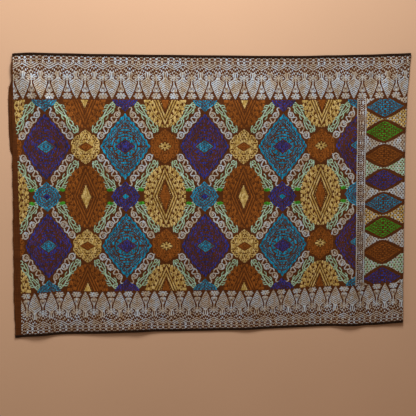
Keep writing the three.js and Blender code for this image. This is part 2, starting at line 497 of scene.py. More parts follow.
def lozenge_rim(a, b):
    """The rim of a big lozenge's quarter: its level, where it is thread, and what lies inside its edge.

    The level is a superellipse's, raised between the lobes, which are waves along the side. The edge is
    solid thread, and a lattice of dark dots, cut by the two dark lines, fills the rest.
    """
    level = oval_level(a, b, LOZENGE_HALF, LOZENGE_POWER)
    share = (a / LOZENGE_HALF[0]) / np.maximum(kite_level(a, b, LOZENGE_HALF), 1e-6)
    lobe = wave(share * LOZENGE_LOBES + 0.5)
    inside = (level < 0.935 + 0.065 * np.sqrt(lobe)) & (a < LOZENGE_TIP * LOZENGE_HALF[0])
    rim = level + 0.055 * (1.0 - lobe)
    lattice = (bricks(a, b, *LATTICE_DOT) > 0.58) | (frac(b / LATTICE_DOT[1]) > 0.80)
    broken = on_line(rim, RIM_DASHES) & (frac(share * 13.0) > 0.35)
    thread = (rim > RIM_EDGE) | (lattice & ~broken & ~on_line(rim, RIM_LINE))
    return rim, thread, inside


def paint_lozenge(x, y, violet, chart):
    """A big lozenge: a lobed rim, lens rings cut into dashes, scrolls outside them and a small heart."""
    main = thread_numbers(violet, VIOLET, BLUE)
    other = thread_numbers(violet, BLUE, VIOLET)
    a, b = np.abs(x), np.abs(y)
    rim, thread, inside = lozenge_rim(a, b)
    middle = rim < RIM_INNER
    thread &= ~middle
    lens = round_level(a, b, LENS_HALF)
    turn = np.arctan2(b / LENS_HALF[1], a / LENS_HALF[0]) / (0.5 * np.pi)
    for start, thick, cuts, phase in LENS_RINGS:
        wavy = lens + LENS_RIPPLE * np.sin(turn * cuts * 2.0 * np.pi)
        thread |= middle & (wavy > start) & (wavy < start + thick) & (frac(turn * cuts + phase) > 0.20)
    free = (lens > 1.02) & middle
    thread[free] = near(a[free], b[free], lozenge_scrolls())
    heart = kite_level(a, b, HEART_HALF)
    thread |= (lens < 0.40) & (heart > 1.24) & (frac(turn * 3.0 + 0.2) > 0.22)
    thread &= ~violet | (bricks(a, b, *VIOLET_FLECK) > 0.22)
    painted = inside & thread & (heart > 1.16)
    chart[painted] = main[painted]
    core = (heart < 1.0) & ((wave(b / 6.2 + a / 10.0) > 0.34) | (heart > 0.84))
    chart[core] = other[core]


# The small rosette's round form, pointed form and heart
SMALL_ROUND_HALF = (38.0, 33.5)
SMALL_POINTED_HALF = (43.5, 45.0)
SMALL_HEART_HALF = (10.5, 8.0)


def paint_small_rosette(x, y, violet, chart):
    """A small rosette: a round form joined with a pointed one, in rings round a small heart."""
    main = thread_numbers(violet, BLUE, VIOLET)
    other = thread_numbers(violet, VIOLET, BLUE)
    level = np.minimum(round_level(x, y, SMALL_ROUND_HALF), kite_level(x, y, SMALL_POINTED_HALF))
    along = np.arctan2(y, x) / np.pi * 4.0
    rings = dashed_rings(level, along, rings=4.4, ripple=0.16, ripples=2.0, cover=0.64, cuts=5.0, cut=0.16)
    inside = level < 1.0
    thread = inside & (rings | (level > 0.9))
    chart[inside] = GROUND
    chart[thread] = main[thread]
    heart = kite_level(x, y, SMALL_HEART_HALF)
    chart[heart < 1.4] = GROUND
    chart[heart < 1.0] = other[heart < 1.0]


# The pointed oval: petals in half a turn, its kite lines, and the halves and power of each bud
OVAL_HALF = (62.5, 92.5)
OVAL_PETALS = 11
OVAL_KITE_HALF = (36.5, 85.0)
GOLD_BUD = ((15.0, 35.5), 0.97)
COPPER_BUD = ((15.0, 41.0), 1.05)


def paint_oval(x, y, copper, chart):
    """A pointed oval: two rows of looped petals round a double kite line, and a bud in the middle."""
    leafy = thread_numbers(copper, COPPER, GOLD)
    inner = thread_numbers(copper, GOLD, COPPER)
    level = oval_level(x, y, OVAL_HALF, 2.0)
    turn = np.arctan2(y / OVAL_HALF[1], x / OVAL_HALF[0])
    petal = wave(turn * OVAL_PETALS / np.pi)
    between = wave(turn * OVAL_PETALS / np.pi + 0.5)
    scallop = wave(turn * 2 * OVAL_PETALS / np.pi + 0.5)
    inside = level < 0.95 + 0.055 * np.sqrt(scallop)
    chart[inside] = leafy[inside]
    dots = (level > 0.80) & (level < 0.90) & (petal < 0.42)
    dots |= (level > 0.60) & (level < 0.70) & (between < 0.45)
    dots |= on_line(level, (0.755, 0.018)) & (frac(turn * 2 * OVAL_PETALS / np.pi) > 0.3)
    dots |= (level > 0.90) & (scallop < 0.22)
    chart[inside & dots] = GROUND
    kite = kite_level(x, y, OVAL_KITE_HALF)
    chart[kite < 1.09] = GROUND
    bands = ((kite < 1.0) & (kite > 0.88)) | ((kite < 0.775) & (kite > 0.655))
    chart[bands] = leafy[bands]
    beads = (kite < 0.56) & (kite > 0.42) & (wave(y / 6.0) > 0.45) & (wave(x / 6.0) > 0.3)
    chart[beads] = leafy[beads]
    bud = np.where(copper, oval_level(x, y, *GOLD_BUD), oval_level(x, y, *COPPER_BUD))
    chart[bud < 1.15] = GROUND
    chart[bud < 1.0] = inner[bud < 1.0]


# The large rosette, with the lens or the star in its middle. Eyes of its loops in one quarter: place,
# and the halves of the loop round it
ROSETTE_HALF = (43.0, 51.0)
ROSETTE_EYES = [
    ((0.0, 29.5), (8.2, 8.4)),
    ((8.0, 42.5), (6.4, 5.4)),
    ((23.5, 29.0), (8.0, 7.6)),
    ((34.5, 16.0), (7.4, 8.4)),
    ((9.5, 18.5), (6.4, 5.0)),
    ((27.0, 7.0), (5.0, 5.6)),
]
ROSETTE_LENS_HALF = (20.5, 12.5)
ROSETTE_STAR_HALF = (22.5, 17.0)


def star_petals():
    """One quarter of the star: an upright petal, a leaning one and a long level one."""
    return [
        (curve((0, 4.0), (0, 11.0)), 2.0),
        (curve((3.2, 3.0), (11.5, 8.6)), 1.5),
        (curve((5, 1.2), (16.5, 1.8)), 1.3),
    ]


def peaked_level(x, y, half):
    """1 on the edge of a peaked oval: a superellipse, cut by straight slopes that meet in a point."""
    return np.maximum(oval_level(x, y, half, 2.3), kite_level(x, y, (half[0] * 1.8, half[1])))


def paint_rosette(x, y, copper, chart):
    """A large rosette of loops round their eyes: gold round a lens, or copper round a star."""
    level = peaked_level(x, y, ROSETTE_HALF)
    turn = np.arctan2(y / ROSETTE_HALF[1], x / ROSETTE_HALF[0])
    upright = np.abs(np.sin(turn)) > 0.966
    lobe = np.where(upright, 1.0, wave(turn * 6 / np.pi))
    inside = level / (0.91 + 0.09 * np.sqrt(lobe)) < 1.0
    a, b = np.abs(x), np.abs(y)
    chart[inside] = thread_numbers(copper, GOLD, COPPER)[inside]
    carved = np.zeros(x.shape, bool)
    inner = np.where(copper, 0.72, 0.80)
    for (eye_x, eye_y), half in ROSETTE_EYES:
        loop = round_level(a - eye_x, b - eye_y, half)
        around = wave(np.arctan2(b - eye_y, a - eye_x) / 2.1 + 0.2)
        carved |= (loop > inner) & (loop < 1.06) & (around > 0.34)
        carved |= loop < np.where(copper, 0.36, 0.30)
    chart[inside & carved] = GROUND
    lens = kite_level(x, y, ROSETTE_LENS_HALF)
    chart[copper & (lens < 1.18)] = GROUND
    chart[copper & (lens < 1.0) & (wave(b / 5.4 + a / 8.0) > 0.24)] = COPPER
    star = ~copper & (kite_level(x, y, ROSETTE_STAR_HALF) < 1.0)
    petals = near(a[star], b[star], star_petals())
    chart[star] = thread_numbers(petals, GOLD, GROUND)


# Green leaves beside a small rosette: centre in one quarter, lean, halves and power
LEAF_PLACE = (46.5, 20.0)
LEAF_LEAN = 0.3
LEAF_HALF = (9.5, 5.2)
LEAF_POWER = 1.6


def paint_field(s, v, chart):
    """The field: lozenges and ovals in turned rows, with chains and vines along the lozenges' sides."""
    big = np.round((s - FIRST_COLUMN) / (2 * COLUMN_PITCH))
    x = s - FIRST_COLUMN - 2 * big * COLUMN_PITCH
    violet = big % 2 == 0
    lozenge_row = np.round((v / ROW_PITCH - 1) / 2) * 2 + 1
    y = v - lozenge_row * ROW_PITCH
    paint_lozenge(x, y, violet, chart)
    along, out = chain_frame(np.abs(x), np.abs(y))
    chart[near(along, out, mint_vine())] = MINT
    chart[near(along, out, silver_chain())] = SILVER
    small_row = np.round(v / (2 * ROW_PITCH)) * 2
    small_y = v - small_row * ROW_PITCH
    paint_small_rosette(x, small_y, violet, chart)
    over = np.abs(small_y) - LEAF_PLACE[1]
    leaf = oval_level(np.abs(x) - LEAF_PLACE[0] + LEAF_LEAN * over, over, LEAF_HALF, LEAF_POWER)
    chart[(leaf < 1.0) & (small_row == 0)] = GREEN
    odd = np.round(((s - FIRST_COLUMN) / COLUMN_PITCH - 1) / 2) * 2 + 1
    odd_x = s - FIRST_COLUMN - odd * COLUMN_PITCH
    copper = odd % 4 == 1
    paint_oval(odd_x, small_y, copper, chart)
    paint_rosette(odd_x, y, copper, chart)


# The border, by the distance in from the edge of the cloth. Tack rows: middle and half height. Links
# between the tacks: the same, and where they start on the tacks' wave. Dots: length and height of a brick
TACK_ROWS = [(12.3, 3.0), (21.8, 2.6)]
TACK_SHARE = 0.66
TACK_LINKS = [((17.2, 1.1), 0.52), ((8.2, 1.1), 0.50)]
FIRST_DOTS_END = 10.4
MIDDLE_DOTS = (17.2, 2.4)
LAST_DOTS = (25.4, 1.6)
DOT_BRICK = (6.0, 3.1)

# Zigzags over the bursts, and rows of squares along them: line, phase, dark share, and the least
# distance from the middle of the gap between two kites
ZIGZAG_SLOPE = 0.55
ZIGZAG_FROM = 26.0
ZIGZAG_TO = 49.5
BARS_FROM = 67.0
BARS_CLEAR = 12.0
BAR_PITCH = 6.0
SQUARE_PITCH = 10.4
SQUARE_ROWS = [((56.4, 3.7), 0.0, 0.66, -1.0), ((51.0, 2.6), 0.5, 0.60, -1.0), ((62.4, 2.8), 0.5, 0.68, 4.0)]

# Bursts over the gaps between the kites, the kites, and the drops and flowers in the gaps
BURST_AT = 68.0
BURST_HALF = (16.0, 9.2)
BURST_SHADE = (66.5, 9.0)
KITE_ROOF = 68.5
KITE_SHOULDER = 82.0
KITE_TIP = 132.5
KITE_HALF = 20.0
KITE_RIM = 1.5
RIB_STEP = 6.6
RIB_SHARE = 0.67
GAP_FROM = 77.5
DROP_START = 78.0
DROP_WIDEN = 88.0
DROP_FULL = 106.0
DROP_END = 112.0
DROP_STEM = 1.4
DROP_SEED_AT = 101.5
FLOWER_AT = 123.6
FLOWER_HALF = (14.6, 10.2)
FLOWER_FROM = 113.5
FLOWER_CLEAR = 1.8
FLOWER_EYE = 1.8


def border_tacks(s, edge):
    """Dark tacks in rows, three to a kite, with links between them and dots on the plain rows."""
    third = wave((s - KITE_PHASE) / (KITE_PITCH / 3.0))
    dark = np.zeros(s.shape, bool)
    for row in TACK_ROWS:
        dark |= on_line(edge, row) & (third < TACK_SHARE)
    for row, start in TACK_LINKS:
        dark |= on_line(edge, row) & (third > start)
    plain = (edge < FIRST_DOTS_END) | on_line(edge, MIDDLE_DOTS) | on_line(edge, LAST_DOTS)
    return dark | (plain & (bricks(s, edge, *DOT_BRICK) < 0.62) & (frac(edge / DOT_BRICK[1]) < 0.70))


def border_zigzags(off_kite, off_gap, edge):
    """Dark lines, squares and bars of the zigzags, by the edge's distance and a slope along the border."""
    zig = edge + ZIGZAG_SLOPE * off_gap
    dark = (edge > ZIGZAG_FROM) & (zig < ZIGZAG_TO) & (frac(zig / 6.6 + 0.1) < 0.50)
    for row, phase, share, least in SQUARE_ROWS:
        dark |= on_line(zig, row) & (wave(off_gap / SQUARE_PITCH + phase) < share) & (off_gap > least)
    bars = (off_gap > BARS_CLEAR) & (frac(off_kite / BAR_PITCH + 0.25) > 0.60)
    return dark | (bars & (zig > BARS_FROM) & (edge < BURST_AT))


def kite_side(edge):
    """Half width of a kite: full down to its shoulder, then narrowing to the tip by a power."""
    share = np.clip((edge - KITE_SHOULDER) / (KITE_TIP - KITE_SHOULDER), 0.0, 1.0)
    return KITE_HALF * (1.0 - share ** 1.38)


def paint_kite(off_kite, edge, kite, side, chart):
    """A kite: ribs that follow its roof's slopes, inside a plain rim."""
    depth = edge - (KITE_SHOULDER - KITE_ROOF) / KITE_HALF * off_kite - KITE_ROOF
    silver = (frac(depth / RIB_STEP) < RIB_SHARE) | (side - off_kite < KITE_RIM)
    chart[kite] = thread_numbers(silver, SILVER, GROUND)[kite]


def paint_drop(off_gap, edge, chart):
    """A drop on a stem: a straight widening, closed by a half ellipse, with a dark line and a dark seed."""
    bell = np.maximum(DROP_STEM + 0.42 * (edge - DROP_WIDEN), DROP_STEM)
    foot = np.sqrt(np.clip(1.0 - ((edge - DROP_FULL) / (DROP_END - DROP_FULL)) ** 2, 0.0, 1.0))
    bell = np.where(edge > DROP_FULL, bell * foot, bell)
    drop = (off_gap < bell) & (edge > DROP_START) & (edge < DROP_END)
    chart[drop] = SILVER
    chart[drop & (np.abs(off_gap - 0.56 * bell) < 0.9) & (edge > 96.0) & (edge < 108.0)] = GROUND
    chart[oval_level(off_gap, edge - DROP_SEED_AT, (1.7, 3.6), 2) < 1.0] = GROUND


def paint_flower(off_gap, edge, clear, chart):
    """A flower of eight petals round a dark eye, where it is clear of the kites."""
    across, up = off_gap / FLOWER_HALF[0], (edge - FLOWER_AT) / FLOWER_HALF[1]
    level = np.hypot(across, up)
    petal = petals_of_eight(across, up)
    flower = (level / (0.82 + 0.18 * petal) < 1.0) & (edge > FLOWER_FROM) & clear
    chart[flower & ~((petal < 0.28) & (level > 0.40))] = SILVER
    chart[np.hypot(off_gap, edge - FLOWER_AT) < FLOWER_EYE] = GROUND


def paint_border(s, v, chart):
    """A border from the selvedge in: tacks, nested zigzags, bursts, then kites with drops and flowers.

    Off kite and off gap are the distances along the border from the middle of a kite and of a gap.
    """
    edge = HALF_HEIGHT - np.abs(v)
    lower_shift = LOWER_SHIFT - LOWER_DRIFT * ease_run(s, DRIFT_RUN)
    offset = s - KITE_PHASE - np.where(v < 0, lower_shift, 0.0)
    offset = offset - np.round(offset / KITE_PITCH) * KITE_PITCH
    off_kite = np.abs(offset)
    off_gap = KITE_PITCH / 2.0 - off_kite
    across, up = off_gap / BURST_HALF[0], (edge - BURST_AT) / BURST_HALF[1]
    burst = np.hypot(across, up)
    gaps = (burst > 0.30) & (petals_of_eight(across, up) < 0.38)
    dark = border_tacks(s, edge) | border_zigzags(off_kite, off_gap, edge)
    dark |= (burst < 1.26) & on_line(edge, BURST_SHADE)
    dark = np.where(burst < 1.0, gaps, dark)
    chart[...] = SILVER
    chart[dark] = GROUND
    side = kite_side(edge)
    roof_line = KITE_ROOF + (KITE_SHOULDER - KITE_ROOF) * off_kite / KITE_HALF
    under_roof = edge > roof_line
    chart[(edge > GAP_FROM) & (off_kite >= side)] = GROUND
    chart[(edge > roof_line - 2.2) & (off_kite > 5.5) & (off_kite < KITE_HALF) & ~under_roof] = GROUND
    chart[(burst < 1.0) & ~gaps & (off_kite > side + 1.5)] = SILVER
    paint_kite(off_kite, edge, (off_kite < side) & under_roof & (edge < KITE_TIP), side, chart)
    paint_drop(off_gap, edge, chart)
    paint_flower(off_gap, edge, off_kite > side + FLOWER_CLEAR, chart)


# The upright strip: its side lines' width, its band's half width, and its tacks and beads up the height
STRIP_LINE = 2.3
STRIP_BAND = 5.4
STRIP_TACKS = (8.0, 2.6)
TACK_PITCH = 6.12
BEAD_PITCH = 30.6
BAND_DOT = 2.7


def paint_strip(s, v, chart):
    """The upright strip: a thin line, dark tacks, a beaded band, dark tacks and a thin line."""
    a = np.abs(s - 0.5 * (STRIP_START + STRIP_END))
    half = 0.5 * (STRIP_END - STRIP_START)
    band = a < STRIP_BAND
    chart[...] = GROUND
    chart[(a > half - STRIP_LINE) | band] = SILVER
    chart[on_line(a, STRIP_TACKS) & (wave(v / TACK_PITCH) > 0.76)] = SILVER
    bead = wave(v / BEAD_PITCH) < 0.26
    chart[band & ~bead & (bricks(v, a, TACK_PITCH, BAND_DOT) < 0.66)] = GROUND
    chart[(a < 1.6) & bead] = GROUND


# The head panel: middle, half width and pitch of its lozenges, and the specks of its bow ties
PANEL_MIDDLE = 531.0
PANEL_HALF = 57.5
PANEL_PITCH = 74.8
PANEL_RISE = 29.5
TIE_RISE = 26.5
SPECK_BRICK = (9.4, 6.2)


def paint_panel(s, v, chart):
    """The head panel: wide lozenges one above the other, with speckled bow ties between them."""
    a = np.abs(s - PANEL_MIDDLE)
    v = v + read_edge(PANEL_SHIFT, v)
    number = np.floor(v / PANEL_PITCH)
    y = v - (number + 0.5) * PANEL_PITCH
    tone = np.select([number % 4 == 0, number % 4 == 1, number % 4 == 2], [VIOLET, COPPER, GREEN], BLUE)
    share = np.clip(a / PANEL_HALF, 0.0, 1.0)
    bound = PANEL_RISE * (0.7 * (1.0 - share) + 0.3 * 0.5 * (1.0 + np.cos(np.pi * share))) + 0.6
    row = np.abs(y) / (bound + 8.0) * 5.6
    feather = (frac(row + 0.2) < 0.58) & (frac(a / 13.0 + 0.5 * np.floor(row + 0.2)) > 0.26)
    filled = (np.abs(y) < bound) & (a < PANEL_HALF) & (feather | (np.abs(y) > bound - 1.8))
    chart[...] = GROUND
    chart[filled] = tone[filled]
    tie_number = np.round(v / PANEL_PITCH)
    tie = np.abs(v - tie_number * PANEL_PITCH) < 1.0 + TIE_RISE * share ** 1.55
    tie_tone = np.select([tie_number == 3, tie_number == 1, tie_number == -1, tie_number == -3],
                         [GOLD, MINT, GOLD, MINT], SILVER)
    row = np.floor(v / SPECK_BRICK[1])
    speck = (bricks(s, v, *SPECK_BRICK) < 0.38) & (frac(v / SPECK_BRICK[1]) < 0.62)
    second = (wave(s / (2 * SPECK_BRICK[0]) + 0.25 + 0.5 * row) < 0.3) & (np.abs(tie_number) % 2 == 1)
    tie_tone = np.where(second, SILVER, tie_tone)
    tied = tie & ~speck
    chart[tied] = tie_tone[tied]


def full_chart(s, v):
    """Thread colour numbers at pattern places s, v."""
    chart = np.zeros(s.shape, np.int8)
    middle = np.abs(v) < FIELD_HALF + FIELD_LAP
    areas = [
        (paint_field, (s > FIELD_START) & (s < FIELD_END) & middle),
        (paint_strip, (s >= STRIP_START) & (s <= STRIP_END) & middle),
        (paint_panel, (s > PANEL_START) & middle),
        (paint_border, (s > FIELD_START) & ~middle & (np.abs(v) < HALF_HEIGHT - SELVEDGE)),
    ]
    for painter, area in areas:
        part = np.zeros(int(area.sum()), np.int8)
        painter(s[area], v[area], part)
        chart[area] = part
    return chart


# Meshes

def make_object(name, points, corners, sizes, material, uv=None, smooth=True):
    """A mesh object from points in millimetres, face corners in one row and each face's count."""
    mesh = bpy.data.meshes.new(name)
    mesh.vertices.add(len(points))
    mesh.vertices.foreach_set("co", np.ascontiguousarray(points * MM, np.float32).ravel())
    mesh.loops.add(len(corners))
    mesh.loops.foreach_set("vertex_index", np.ascontiguousarray(corners, np.int32))
    mesh.polygons.add(len(sizes))
    mesh.polygons.foreach_set("loop_start", (np.cumsum(sizes) - sizes).astype(np.int32))
    mesh.update(calc_edges=True)
    mesh.polygons.foreach_set("use_smooth", np.full(len(sizes), smooth))
    if uv is not None:
        layer = mesh.uv_layers.new(name="OFBake")
        layer.data.foreach_set("uv", np.ascontiguousarray(uv, np.float32).ravel())
    if mesh.validate():
        raise RuntimeError(f"The mesh of {name} has bad faces")
    mesh.materials.append(material)
    piece = bpy.data.objects.new(name, mesh)
    bpy.context.scene.collection.objects.link(piece)
    return piece


def grid_quads(rows, columns, first=0):
    """Corner numbers of the quads of a grid whose points run along each row."""
    number = first + np.arange(rows * columns).reshape(rows, columns)
    return np.stack([number[:-1, :-1], number[:-1, 1:], number[1:, 1:], number[1:, :-1]], -1).reshape(-1, 4)


def cloth_section(rows, thickness):
    """Middle points and normals of the whole folded sheet, from the back's raw end to the front's.

    Each row is one height. The back layer is flat, the fold is a half turn of the fold radius,
    and the front layer follows the folds, with its points even between raw end and fold.
    """
    v = np.linspace(-HALF_HEIGHT, HALF_HEIGHT, rows)[:, None]
    start = fold_start(v, thickness)
    share = np.linspace(0.0, 1.0, BACK_COLUMNS, endpoint=False)[None, :]
    raw = -FOLDED_WIDTH / 2.0 + read_edge(BACK_RAW_END, v)
    back_x = raw + (start - raw) * share
    back_v = v + 0.0 * back_x
    back_y = cloth_y(back_x, back_v, BACK_STEP_IN * (1.0 - ease(share)))
    back = np.stack([back_x, back_y, np.full_like(back_x, thickness / 2.0)], -1)
    back_normal = np.zeros_like(back)
    back_normal[..., 2] = -1.0
    turn = np.linspace(0.0, np.pi, FOLD_COLUMNS, endpoint=False)[None, :] + 0.0 * v
    fold_normal = np.stack([np.sin(turn), np.zeros_like(turn), -np.cos(turn)], -1)
    fold_y = cloth_y(start, v) + 0.0 * turn
    centre = np.stack([start + 0.0 * turn, fold_y, np.full_like(turn, thickness / 2.0 + FOLD_RADIUS)], -1)
    fold = centre + fold_normal * FOLD_RADIUS
    share = np.linspace(1.0, 0.0, FRONT_COLUMNS)[None, :]
    raw = -FOLDED_WIDTH / 2.0 + read_edge(FRONT_RAW_END, v) + raw_wobble(v)
    front_x = raw + (start - raw) * share
    front_y = cloth_y(front_x, v + 0.0 * front_x)
    wide_start = start + 0.0 * front_x
    height = front_height(front_x, front_y, wide_start, thickness)
    front = np.stack([front_x, front_y, height], -1)
    normal = front_normal(front_x, front_y, wide_start, thickness)
    normal[:, 0] = (0.0, 0.0, 1.0)
    return np.concatenate([back, fold, front], 1), np.concatenate([back_normal, fold_normal, normal], 1)


def raw_wobble(v):
    """Small unevenness of the cut end: three sines of different lengths."""
    return 0.5 * np.sin(v / 9.0) + 0.4 * np.sin(v / 4.3 + 1.0) + 0.5 * np.sin(v / 31.0 + 2.0)


def flat_map(places, width):
    """UV places: x over a width and y over the map's height, both from the map's start."""
    return np.stack([(places[:, 0] - MAP_START[0]) / width, (places[:, 1] - MAP_START[1]) / MAP_SIZE[1]], -1)


def sheet_uv(rows, columns, outer):
    """Flat places of the sheet for its UV map: the front's face large, the other sides small."""
    across = np.linspace(0.0, 1.0, rows)[:, None] + np.zeros((1, columns))
    column = np.arange(columns)[None, :] + np.zeros((rows, 1))
    front_from = BACK_COLUMNS + FOLD_COLUMNS
    if not outer:
        return np.stack([0.02 + 0.96 * column / (columns - 1), 0.02 + 0.10 * across], -1), None
    front_u = 1.0 - (column - front_from) / (columns - 1 - front_from)
    front = np.stack([0.01 + 0.97 * front_u, 0.31 + 0.67 * across], -1)
    back = np.stack([0.02 + 0.96 * column / front_from, 0.15 + 0.13 * across], -1)
    return back, front


def build_ground(thickness, material):
    """The closed sheet: both skins half a thickness off the middle surface, joined by four rims."""
    middle, normal = cloth_section(SHEET_ROWS, thickness)
    rows, columns = middle.shape[:2]
    outer = middle + normal * thickness / 2.0
    inner = middle - normal * thickness / 2.0
    points = np.concatenate([outer.reshape(-1, 3), inner.reshape(-1, 3)])
    count = rows * columns
    number = np.arange(count).reshape(rows, columns)
    outer_quads = grid_quads(rows, columns)[:, ::-1]
    inner_quads = grid_quads(rows, columns, count)

    def rim(line):
        """Quads from a line of the outer skin to the same line of the inner skin."""
        near_edge, far_edge = line[:-1], line[1:]
        return np.stack([near_edge, far_edge, far_edge + count, near_edge + count], -1)

    first = rim(number[:, 0])[:, ::-1]
    last = rim(number[:, -1])
    low = rim(number[0])
    high = rim(number[-1])[:, ::-1]
    quads = np.concatenate([outer_quads, inner_quads, first, last, low, high])
    back_uv, front_uv = sheet_uv(rows, columns, True)
    inner_uv = sheet_uv(rows, columns, False)[0]
    row, column = np.divmod(outer_quads, columns)
    on_front = (column.min(1) >= BACK_COLUMNS + FOLD_COLUMNS)[:, None, None]
    outer_uv = np.where(on_front, front_uv[row, column], back_uv[row, column])
    row, column = np.divmod(inner_quads - count, columns)
    rim_uv = np.full((len(quads) - len(outer_quads) - len(inner_quads), 4, 2), 0.005)
    rim_uv[:, 1:3, 0] = 0.010
    rim_uv[:, 2:, 1] = 0.010
    uv = np.concatenate([outer_uv, inner_uv[row, column], rim_uv])
    sizes = np.full(len(quads), 4)
    return make_object("cloth_ground", points, quads.ravel(), sizes, material, uv.reshape(-1, 2))


def build_selvedges(width, thickness, material):
    """A flat band round each long edge: a rounded oblong section carried along the edge's path."""
    middle, normal = cloth_section(SHEET_ROWS, thickness)
    reach = width / (HEIGHT / (SHEET_ROWS - 1))
    low = int(reach)
    face = thickness / 2.0 + SELVEDGE_LIP
    half = thickness / 2.0 + SELVEDGE_PROUD
    points, quads, uvs = [], [], []
    for edge_row, inward in ((0, 1), (SHEET_ROWS - 1, -1)):
        edge = middle[edge_row]
        far_row = edge_row + inward * low
        far = middle[far_row] * (1 - reach + low) + middle[far_row + inward] * (reach - low)
        far_normal = normal[far_row]
        edge_normal = normal[edge_row]
        outward = edge - far
        outward = outward / np.linalg.norm(outward, axis=1, keepdims=True)
        mid = 0.5 * (edge + far)
        loop = [far + far_normal * face, far + outward * 0.5 + far_normal * half, mid + edge_normal * half]
        for out, up in SELVEDGE_SECTION:
            loop.append(edge + outward * (out + 0.2) * 1.6 + edge_normal * up * 2.0 * half)
        loop += [mid - edge_normal * half, far + outward * 0.5 - far_normal * half, far - far_normal * face]
        tube = np.stack(loop, 1)
        tube[..., 2] = np.maximum(tube[..., 2], 0.0)
        rows, columns = tube.shape[:2]
        first = sum(len(part) for part in points)
        number = first + np.arange(rows * columns).reshape(rows, columns)
        side = np.roll(number, -1, 1)
        band = np.stack([number[:-1], number[1:], side[1:], side[:-1]], -1).reshape(-1, 4)
        points.append(tube.reshape(-1, 3))
        quads.append(band[:, ::-1] if inward < 0 else band)
        place = np.arange(rows)[:-1, None] + np.zeros((1, columns))
        around = np.arange(columns)[None, :] + np.zeros((rows - 1, 1))
        base = 0.02 if inward > 0 else 0.52
        corner = []
        for step, turn in ((0, 0), (1, 0), (1, 1), (0, 1)):
            corner.append(np.stack([(place + step) / rows * 0.98 + 0.01,
                                    base + (around + turn) / columns * 0.44], -1))
        uv = np.stack(corner, 2).reshape(-1, 4, 2)
        uvs.append(uv[:, ::-1] if inward < 0 else uv)
    quads = np.concatenate(quads)
    sizes = np.full(len(quads), 4)
    uv = np.concatenate(uvs).reshape(-1, 2)
    return make_object("selvedge_bands", np.concatenate(points), quads.ravel(), sizes, material, uv)


def build_raw_ends(length, spacing, thickness, material):
    """Loose yarn ends along both raw ends: each a thin three-sided tube on a short bent path.

    A path runs straight out from its root, drifts aside by the square of the share along it, and on the
    front layer falls by the same square. Its radius shrinks evenly to half at the tip.
    """
    random = np.random.default_rng(YARN_SEED)
    yarns = []
    for end_rows, is_front in ((FRONT_RAW_END, True), (BACK_RAW_END, False)):
        v = np.arange(-HALF_HEIGHT + YARN_CLEAR, HALF_HEIGHT - YARN_CLEAR, spacing)
        v = v + random.uniform(-0.4, 0.4, len(v)) * spacing
        raw = -FOLDED_WIDTH / 2.0 + read_edge(end_rows, v)
        if is_front:
            raw = raw + raw_wobble(v)
        reach = length * random.uniform(0.25, 1.0, len(v)) ** 1.5
        drift = random.uniform(-0.5, 0.5, len(v)) * reach
        share = np.linspace(0.0, 1.0, 5)[None, :]
        x = raw[:, None] + YARN_ROOT - (reach[:, None] + YARN_ROOT) * share
        y_line = cloth_y(raw, v)[:, None] + drift[:, None] * share ** 2
        if is_front:
            start = fold_start(v, thickness)[:, None] + 0.0 * x
            root = np.broadcast_to(raw[:, None] + YARN_ROOT, x.shape)
            base = front_height(root, y_line, start, thickness)
            fall = random.uniform(0.2, 1.6, len(v))[:, None]
            z = base - fall * share ** 2 * np.minimum(reach[:, None] / 3.0, 1.5)
        else:
            z = np.full_like(x, thickness / 2.0) - 0.2 * share
        yarns.append(np.stack([x, y_line, np.maximum(z, YARN_LOWEST)], -1))
    path = np.concatenate(yarns)
    count, steps = path.shape[:2]
    radius = YARN_RADIUS * (1.0 - 0.5 * np.linspace(0, 1, steps))[None, :, None, None]
    turn = np.radians([90.0, 210.0, 330.0])
    around = np.stack([np.zeros(3), np.cos(turn), np.sin(turn)], -1)[None, None]
    points = (path[:, :, None, :] + radius * around).reshape(-1, 3)
    number = np.arange(count * steps * 3).reshape(count, steps, 3)
    side = np.roll(number, -1, 2)
    quads = np.stack([number[:, :-1], side[:, :-1], side[:, 1:], number[:, 1:]], -1).reshape(-1, 4)
    caps = np.concatenate([number[:, 0, ::-1], number[:, -1]])
    corners = np.concatenate([quads.ravel(), caps.ravel()])
    sizes = np.concatenate([np.full(len(quads), 4), np.full(len(caps), 3)])
    uv = np.clip(flat_map(points[corners], YARN_MAP_WIDTH), 0.0, 1.0)
    return make_object("raw_end_yarns", points, corners, sizes, material, uv)


def float_runs(mask, parity, longest):
    """Start and end rows of the floats of one colour, one per run of cells down each pick.

    A run longer than the longest float is tied down between equal floats, and on every other pick
    the ties are shifted by half a float, as bricks are.
    """
    edges = np.diff(np.pad(mask.astype(np.int8), ((0, 0), (1, 1))), axis=1)
    pick, begin = np.nonzero(edges == 1)
    end = np.nonzero(edges == -1)[1]
    length = end - begin
    pieces = np.maximum(1, np.round(length / longest)).astype(int)
    shifted = (parity[pick] == 1) & (pieces > 1)
    counts = pieces + shifted
    run = np.repeat(np.arange(len(pick)), counts)
    step = np.arange(len(run)) - np.repeat(np.cumsum(counts) - counts, counts)
    shift = np.where(shifted[run], 0.5, 0.0)
    low = np.clip((step - shift) / pieces[run], 0.0, 1.0)
    high = np.clip((step + 1 - shift) / pieces[run], 0.0, 1.0)
    return pick[run], begin[run] + low * length[run], begin[run] + high * length[run]


